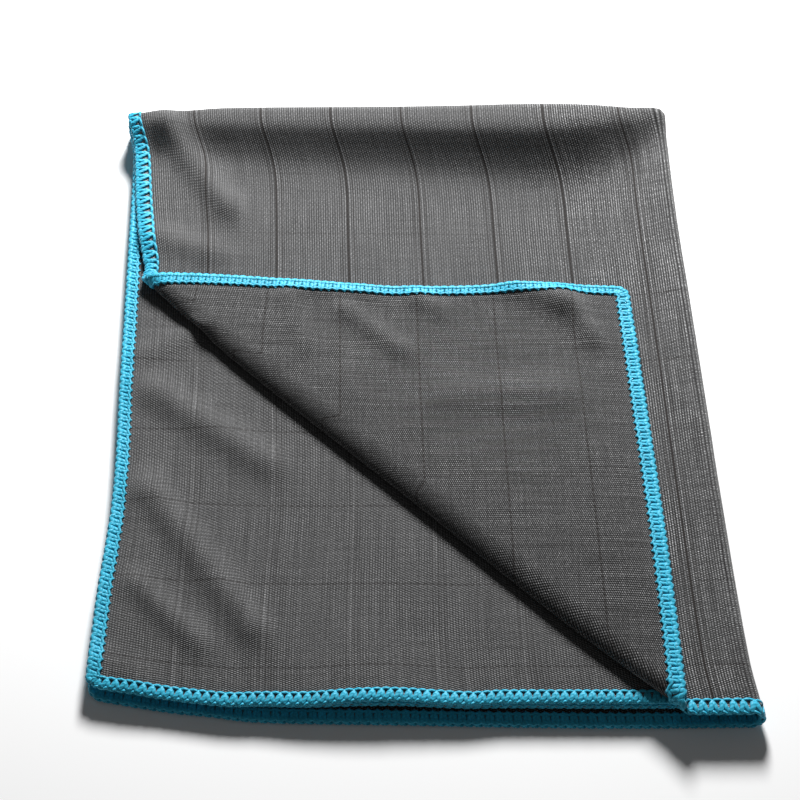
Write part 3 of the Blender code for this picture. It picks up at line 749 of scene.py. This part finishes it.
class DISHCLOTH_OT_cloth(bpy.types.Operator):
    """Weave the cloth and lay it folded in quarters, with its corner turned back"""

    bl_idname = "dishcloth.lay_cloth"
    bl_label = "Lay Cloth"

    def execute(self, context):
        settings = context.scene.dishcloth_cloth
        data = self.flat_mesh(settings.fine_step / MM, settings.coarse_step / MM)
        flat = np.empty(len(data.vertices) * 3, dtype=np.float32)
        data.vertices.foreach_get("co", flat)
        u, v, _ = flat.reshape(-1, 3).astype(float).T
        place, rolled = lie_of(u, v)
        data.vertices.foreach_set("co", (place * MM).astype(np.float32).ravel())
        self.map_flat(data, u, v, rolled)
        distance = data.attributes.new("rim_distance", "FLOAT", "POINT")
        distance.data.foreach_set("value", rim_distance(u, v).astype(np.float32))
        data.materials.append(weave_material("weave_front", settings, FRONT_LOOK))
        data.materials.append(weave_material("weave_back", settings, BACK_LOOK))
        for face in data.polygons:
            face.use_smooth = True
        cloth = bpy.data.objects.new("folded_cloth", data)
        context.scene.collection.objects.link(cloth)
        self.thicken(cloth, settings.thickness, rim_distance(u, v))
        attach(cloth, "root")
        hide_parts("cloth")
        return {"FINISHED"}

    def flat_mesh(self, fine, coarse):
        """The cloth laid flat, with round corners, finer on the top leaf and finest where it will roll."""
        side = HALF_WIDTH - RIM_INSET
        u_lines = sheet_places(math.pi * TURN_RADIUS / 2, -side, side, fine, coarse)
        v_lines = sheet_places(math.pi * (LEAF_HALF_GAP + BACK_SWELL) / 2, RIM_INSET - FRONT_LENGTH,
                               INNER_LENGTH - RIM_INSET, fine, coarse / 2)
        u, v = (grid.ravel() for grid in np.meshgrid(u_lines, v_lines, indexing="ij"))
        u, v = round_corner(u, v, RIM_INSET)
        rows, columns = len(u_lines), len(v_lines)
        first = (np.arange(rows - 1)[:, None] * columns + np.arange(columns - 1)[None, :]).ravel()
        quads = np.stack((first, first + 1, first + columns + 1, first + columns), axis=1)
        data = bpy.data.meshes.new("folded_cloth")
        data.from_pydata(np.stack((u, v, np.zeros_like(u)), axis=-1), [], quads)
        self.refine_roll(data)
        return data

    @staticmethod
    def thicken(cloth, thickness, distance):
        """Give the cloth its thickness, pressed thinner at the rim by the stitches."""
        pressed = cloth.vertex_groups.new(name="thickness")
        unpressed = smooth(EDGING_WIDTH - 0.5, EDGING_WIDTH + 1.5, distance)
        shares = RIM_THICKNESS + (1 - RIM_THICKNESS) * unpressed
        for share in np.unique(shares):
            pressed.add(np.flatnonzero(shares == share).tolist(), float(share), "REPLACE")
        solidify = cloth.modifiers.new("thickness", "SOLIDIFY")
        solidify.thickness = thickness
        solidify.offset = 0.0
        solidify.vertex_group = "thickness"
        solidify.material_offset = 1

    @staticmethod
    def refine_roll(data):
        """Halve the mesh of the flat cloth where the turned corner's fold will roll."""
        shape = bmesh.new()
        shape.from_mesh(data)
        shape.verts.ensure_lookup_table()
        places = np.array([point.co for point in shape.verts], dtype=float)
        rolled = lie_of(places[:, 0], places[:, 1])[1]
        on_roll = (rolled > ROLL_MARGIN) & (rolled < 1 - ROLL_MARGIN)
        edges = [edge for edge in shape.edges if any(on_roll[point.index] for point in edge.verts)]
        bmesh.ops.subdivide_edges(shape, edges=edges, cuts=1, use_grid_fill=True)
        shape.to_mesh(data)
        shape.free()

    @staticmethod
    def map_flat(data, u, v, rolled):
        """Lay the weave on the cloth. The flap's squares are narrower one way and longer the other."""
        eased = smooth(FLAP_EASE_START, 1.0, rolled)
        across = u + HALF_WIDTH
        lengthwise = v + FRONT_LENGTH
        corner = np.empty(len(data.loops), dtype=np.int32)
        data.loops.foreach_get("vertex_index", corner)
        square_u = across * (1 - FLAP_NARROWING * eased)
        square_v = lengthwise * (1 + FLAP_LENGTHENING * eased) - FLAP_LINE_SHIFT * eased
        maps = (("flat", across, lengthwise), ("squares", square_u, square_v))
        for name, map_u, map_v in maps:
            layer = data.uv_layers.new(name=name)
            places = np.stack((map_u[corner], map_v[corner]), axis=1) * MM
            layer.data.foreach_set("uv", places.astype(np.float32).ravel())


# The overlocked edge ---------------------------------------------------------------------------------


def at_corner(u, v):
    """Whether a place on the rim is one of the cloth's corners."""
    return abs(u) == HALF_WIDTH and abs(v) in (FRONT_LENGTH, INNER_LENGTH)


def half_corner(corner, along_rim, inside):
    """Half of a round corner, from the straight rim to its middle: each place and its way inward."""
    middle = corner + (along_rim + inside) * CORNER_RADIUS
    points = []
    for step in range(1, CORNER_STEPS + 1):
        angle = HALF_CORNER * step / CORNER_STEPS
        inward = inside * math.cos(angle) + along_rim * math.sin(angle)
        points.append((middle - inward * CORNER_RADIUS, inward))
    return points


def sewing_line(name):
    """The rim of the flat cloth as one open line for each run of stitches, with what each run needs."""
    places = []
    edges = []
    inward = []
    facts = []
    for start_u, start_v, end_u, end_v, *run_facts in SEWN_RUNS:
        start = Vector((start_u, start_v, 0.0))
        end = Vector((end_u, end_v, 0.0))
        ahead = (end - start).normalized()
        inside = Vector((-ahead.y, ahead.x, 0.0))
        run = [(start, inside), (end, inside)]
        # At a corner of the cloth a run takes half of the round corner.
        if at_corner(start_u, start_v):
            run[0] = (start + ahead * CORNER_RADIUS, inside)
            run = half_corner(start, ahead, inside)[::-1] + run
        if at_corner(end_u, end_v):
            run[-1] = (end - ahead * CORNER_RADIUS, inside)
            run = run + half_corner(end, -ahead, inside)
        for number, (place, way_in) in enumerate(run):
            if number:
                edges.append((len(places) - 1, len(places)))
            places.append(place * MM)
            inward.append(way_in)
            facts.append(run_facts)
    data = bpy.data.meshes.new(name)
    data.from_pydata(places, edges, [])
    layer = data.attributes.new("inward", "FLOAT_VECTOR", "POINT")
    layer.data.foreach_set("vector", np.array(inward, dtype=np.float32).ravel())
    for column, title in enumerate(("stitches", "needle_face", "slant", "band_share")):
        layer = data.attributes.new(title, "FLOAT", "POINT")
        layer.data.foreach_set("value", np.array([row[column] for row in facts], dtype=np.float32))
    return bpy.data.objects.new(name, data)


def stitch_wave(tree, phase, table, column, low, high):
    """One way that a thread moves within a stitch, as a smooth curve through a table's rows."""
    node = tree.add("ShaderNodeFloatCurve", {"Value": phase})
    curve = node.mapping.curves[0]
    rows = [(row[0], (row[column] - low) / (high - low)) for row in table]
    while len(curve.points) < len(rows):
        curve.points.new(0.5, 0.5)
    for point, (share, value) in zip(curve.points, rows):
        point.location = (share, value)
    node.mapping.use_clip = False
    node.mapping.update()
    return tree.scaled(node.outputs[0], low, high)


def fact(tree, title, kind="FLOAT"):
    """What the sewing line stores under a name."""
    return tree.output("GeometryNodeInputNamedAttribute", {"Name": title}, data_type=kind)


def stitch_offset(tree, given, table):
    """How far each point of the sewing line moves to follow one thread's stitches."""
    number = tree.add("GeometryNodeSplineParameter").outputs["Index"]
    phase = tree.math("FRACT", tree.math("DIVIDE", tree.math("ADD", number, 0.001), given["Steps"]))
    length = tree.add("GeometryNodeSplineLength").outputs["Length"]
    stitch = tree.math("DIVIDE", length, fact(tree, "stitches"))

    place = stitch_wave(tree, phase, table, 1, -0.5, 1.5)
    across = stitch_wave(tree, phase, table, 2, -0.5, 1.5)
    height = stitch_wave(tree, phase, table, 3, -1.5, 1.5)
    outward = tree.math("SUBTRACT", 1.0, across)
    ahead = tree.math("MULTIPLY_ADD", fact(tree, "slant"), outward, tree.math("SUBTRACT", place, phase))
    ahead = tree.math("MULTIPLY", ahead, stitch)
    from_needle = tree.math("MULTIPLY", fact(tree, "band_share"), outward)
    in_reach = tree.math("MULTIPLY", tree.math("SUBTRACT", 1.0, from_needle), given["Band"])
    up = tree.product(height, given["Half Height"], fact(tree, "needle_face"))

    position = tree.output("GeometryNodeInputPosition")
    strays = tree.add("ShaderNodeTexNoise", {
        "Vector": position, "W": given["Seed"], "Scale": 420.0, "Detail": 1.0}, noise_dimensions="4D")
    stray = tree.vector("SUBTRACT", strays.outputs["Color"], (0.5, 0.5, 0.5))
    stray = tree.vector("SCALE", stray, Scale=given["Unevenness"])

    tangent = tree.output("GeometryNodeInputTangent")
    inward = tree.vector("NORMALIZE", fact(tree, "inward", "FLOAT_VECTOR"))
    offset = tree.vector("SCALE", tangent, Scale=ahead)
    offset = tree.vector("ADD", offset, tree.vector("SCALE", inward, Scale=in_reach))
    offset = tree.vector("ADD", offset, tree.output("ShaderNodeCombineXYZ", {"Z": up}))
    return tree.vector("ADD", offset, stray)


def kept(tree, geometry, parameter, title):
    """A curve that keeps one of its parameters under a title, and what it keeps."""
    node = tree.add("GeometryNodeCaptureAttribute", {"Geometry": geometry}, domain="POINT")
    node.capture_items.new("FLOAT", title)
    tree.links.new(tree.add("GeometryNodeSplineParameter").outputs[parameter], node.inputs[title])
    return node.outputs["Geometry"], node.outputs[title]


def thread_tube(tree, given, sewn):
    """The thread's flat tube along its sewn curve, with a map of its length and its girth."""
    curve, travel = kept(tree, sewn, "Length", "Travel")
    upright = tree.output("GeometryNodeSetCurveNormal", {"Curve": curve}, mode="Z_UP")
    ring = tree.output("GeometryNodeCurvePrimitiveCircle", {"Resolution": given["Sides"], "Radius": 0.5})
    flattened = tree.output("ShaderNodeCombineXYZ", {
        "X": given["Thread Width"], "Y": given["Thread Thickness"], "Z": 1.0})
    ring = tree.output("GeometryNodeTransform", {"Geometry": ring, "Scale": flattened})
    profile, around = kept(tree, ring, "Factor", "Around")
    tube = tree.output("GeometryNodeCurveToMesh", {
        "Curve": upright, "Profile Curve": profile, "Fill Caps": True})
    thread_map = tree.output("ShaderNodeCombineXYZ", {"X": travel, "Y": around})
    return tree.output("GeometryNodeStoreNamedAttribute", {
        "Geometry": tube, "Name": "thread_map", "Value": thread_map}, data_type="FLOAT2", domain="CORNER")


def thread_tree(name, table):
    """Geometry nodes that run one thread of the overlocking along the sewing line, stitch by stitch."""
    group = bpy.data.node_groups.new(name, "GeometryNodeTree")
    sockets = (
        ("Line", "NodeSocketGeometry"), ("Band", "NodeSocketFloat"), ("Half Height", "NodeSocketFloat"),
        ("Thread Width", "NodeSocketFloat"), ("Thread Thickness", "NodeSocketFloat"),
        ("Steps", "NodeSocketInt"), ("Sides", "NodeSocketInt"),
        ("Unevenness", "NodeSocketFloat"), ("Seed", "NodeSocketInt"), ("Thread", "NodeSocketMaterial"),
    )
    for title, kind in sockets:
        group.interface.new_socket(title, in_out="INPUT", socket_type=kind)
    group.interface.new_socket("Sewn Thread", in_out="OUTPUT", socket_type="NodeSocketGeometry")
    tree = Tree(group.nodes, group.links)
    given = tree.add("NodeGroupInput").outputs

    line_curve = tree.output("GeometryNodeMeshToCurve", {"Mesh": given["Line"]})
    count = tree.math("MULTIPLY_ADD", fact(tree, "stitches"), given["Steps"], 1.0)
    fine = tree.output("GeometryNodeResampleCurve", {"Curve": line_curve, "Count": count}, mode="COUNT")
    offset = stitch_offset(tree, given, table)
    sewn = tree.output("GeometryNodeSetPosition", {"Geometry": fine, "Offset": offset})
    tube = thread_tube(tree, given, sewn)
    rounded = tree.output("GeometryNodeSetShadeSmooth", {"Geometry": tube})
    real = tree.output("GeometryNodeRealizeInstances", {"Geometry": rounded})
    coloured = tree.output("GeometryNodeSetMaterial", {"Geometry": real, "Material": given["Thread"]})
    tree.add("NodeGroupOutput", {"Sewn Thread": coloured})
    return group


def thread_material(settings):
    """Turquoise textured polyester: twisted fibres with a soft shine."""
    material, tree, shader = material_tree("turquoise_fibres")
    split = tree.add("ShaderNodeSeparateXYZ", {0: tree.output("ShaderNodeUVMap", uv_map="thread_map")})
    turned = tree.math("MULTIPLY", split.outputs[1], 2.0)
    twist = tree.math("MULTIPLY_ADD", split.outputs[0], 1.0 / (1.1 * MM), turned)
    plies = tree.wave(twist, 1.0)
    place = tree.add("ShaderNodeTexCoord").outputs["Object"]
    fibre = tree.noise(place, 3200.0, 2.0, 0.6)
    # The tone is lighter where the plies and fibres stand up and darker in the grooves between them: painted
    # highlight and painted shade, besides the fibres' own uneven tone.
    tone = tree.product(
        tree.scaled(fibre, 0.7, 1.3),
        tree.math("MULTIPLY_ADD", plies, 0.1, 1.0),
        tree.scaled(tree.noise(place, 260.0, 1.0), 0.8, 1.2))
    raised = tree.math("MULTIPLY_ADD", plies, 0.5, fibre)
    tree.fill(shader, {
        "Base Color": tree.toned(settings.colour, tone),
        "Normal": tree.output("ShaderNodeBump", {"Height": raised, "Strength": 0.5, "Distance": 0.08 * MM}),
        "Roughness": tree.scaled(fibre, 0.4, 0.65),
        "Sheen Weight": 0.12,
        "Sheen Roughness": 0.4,
        "Specular IOR Level": 0.3,
    })
    return material


def plain_mesh(context, thing, group, values):
    """What a group of geometry nodes makes of an object, as a plain mesh."""
    modifier = thing.modifiers.new(group.name, "NODES")
    modifier.node_group = group
    for socket in group.interface.items_tree:
        if socket.in_out == "INPUT" and socket.name in values:
            modifier[socket.identifier] = values[socket.name]
    context.view_layer.update()
    seen = thing.evaluated_get(context.evaluated_depsgraph_get())
    made = bpy.data.meshes.new_from_object(seen)
    thing.modifiers.remove(modifier)
    return made


class DISHCLOTH_OT_edging(bpy.types.Operator):
    """Overlock the rim of the cloth with its needle thread, its two looper threads and their cords"""

    bl_idname = "dishcloth.sew_edging"
    bl_label = "Sew Edging"

    def execute(self, context):
        settings = context.scene.dishcloth_edging
        material = thread_material(settings)
        line_object = sewing_line("sewing_line")
        context.scene.collection.objects.link(line_object)
        for number, (name, table, width, thickness) in enumerate(THREADS):
            data = plain_mesh(context, line_object, thread_tree(name, table), {
                "Band": settings.band, "Half Height": settings.half_height, "Thread Width": width * MM,
                "Thread Thickness": thickness * MM, "Steps": settings.steps, "Sides": settings.sides,
                "Unevenness": settings.unevenness, "Seed": settings.seed + number, "Thread": material})
            data.name = name
            self.fold_with_cloth(data)
            thread = bpy.data.objects.new(name, data)
            context.scene.collection.objects.link(thread)
            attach(thread, "root")
            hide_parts("edging")
        bpy.data.objects.remove(line_object, do_unlink=True)
        return {"FINISHED"}

    @staticmethod
    def fold_with_cloth(data):
        """Carry a thread sewn on the flat cloth to where the folded cloth lies."""
        flat = np.empty(len(data.vertices) * 3, dtype=np.float32)
        data.vertices.foreach_get("co", flat)
        u, v, height = flat.reshape(-1, 3).astype(float).T / MM
        place = lie_of(u, v)[0] + face_direction(u, v) * height[:, None]
        place[:, 2] = np.maximum(place[:, 2], 0.0)
        data.vertices.foreach_set("co", (place * MM).astype(np.float32).ravel())
        shape = bmesh.new()
        shape.from_mesh(data)
        bmesh.ops.recalc_face_normals(shape, faces=shape.faces)
        shape.to_mesh(data)
        shape.free()


# The stage -------------------------------------------------------------------------------------------


class DISHCLOTH_OT_stage(bpy.types.Operator):
    """Set the floor, the light and the camera"""

    bl_idname = "dishcloth.set_stage"
    bl_label = "Set Stage"

    def execute(self, context):
        settings = context.scene.dishcloth_stage
        scene = context.scene
        data = bpy.data.meshes.new("floor")
        signs = ((-1, -1), (1, -1), (1, 1), (-1, 1))
        corners = [(across * FLOOR_HALF, along_y * FLOOR_HALF, 0.0) for across, along_y in signs]
        data.from_pydata(corners, [], [(0, 1, 2, 3)])
        material, tree, shader = material_tree("pale_floor")
        floor_colour = (*settings.floor_colour, 1.0)
        tree.fill(shader, {"Base Color": floor_colour, "Roughness": 0.9, "Specular IOR Level": 0.1})
        data.materials.append(material)
        floor = bpy.data.objects.new("floor", data)
        scene.collection.objects.link(floor)

        key_data = bpy.data.lights.new("key_light", "AREA")
        key_data.shape = "DISK"
        key_data.size = KEY_SIZE
        key_data.energy = settings.key_power
        key = bpy.data.objects.new("key_light", key_data)
        key.location = KEY_PLACE
        key.rotation_euler = (-key.location).to_track_quat("-Z", "Y").to_euler()
        scene.collection.objects.link(key)

        world = bpy.data.worlds.new("studio")
        world.use_nodes = True
        background = world.node_tree.nodes["Background"]
        background.inputs["Color"].default_value = (1.0, 1.0, 1.0, 1.0)
        background.inputs["Strength"].default_value = settings.fill
        scene.world = world
        scene.view_settings.view_transform = "Standard"

        camera_data = bpy.data.cameras.new("camera")
        camera_data.lens = settings.lens
        camera_data.sensor_width = SENSOR_WIDTH
        camera_data.clip_start = NEAREST_SEEN
        camera = bpy.data.objects.new("camera", camera_data)
        back = Vector((0.0, -math.cos(settings.elevation), math.sin(settings.elevation)))
        aim = Vector((-MIDDLE[0] * MM, -MIDDLE[1] * MM, 0.0))
        camera.location = aim + back * settings.distance
        camera.rotation_euler = (math.pi / 2 - settings.elevation, 0.0, 0.0)
        scene.collection.objects.link(camera)
        scene.camera = camera
        return {"FINISHED"}


class DISHCLOTH_PT_pieces(bpy.types.Panel):
    """Lists what can be made"""

    bl_label = "Dishcloth"
    bl_idname = "DISHCLOTH_PT_pieces"
    bl_space_type = "VIEW_3D"
    bl_region_type = "UI"
    bl_category = "Dishcloth"

    def draw(self, context):
        for operator in OPERATORS:
            self.layout.operator(operator.bl_idname)


OPERATORS = (DISHCLOTH_OT_cloth, DISHCLOTH_OT_edging, DISHCLOTH_OT_stage)
SETTINGS = (
    ("dishcloth_cloth", ClothSettings),
    ("dishcloth_edging", EdgingSettings),
    ("dishcloth_stage", StageSettings),
)


def register():
    for name, settings in SETTINGS:
        bpy.utils.register_class(settings)
        setattr(bpy.types.Scene, name, PointerProperty(type=settings))
    for operator in OPERATORS:
        bpy.utils.register_class(operator)
    bpy.utils.register_class(DISHCLOTH_PT_pieces)


def unregister():
    bpy.utils.unregister_class(DISHCLOTH_PT_pieces)
    for operator in reversed(OPERATORS):
        bpy.utils.unregister_class(operator)
    for name, settings in reversed(SETTINGS):
        delattr(bpy.types.Scene, name)
        bpy.utils.unregister_class(settings)


def main():
    register()
    bpy.ops.dishcloth.lay_cloth()
    bpy.ops.dishcloth.sew_edging()
    bpy.ops.dishcloth.set_stage()


if __name__ == "__main__":
    main()
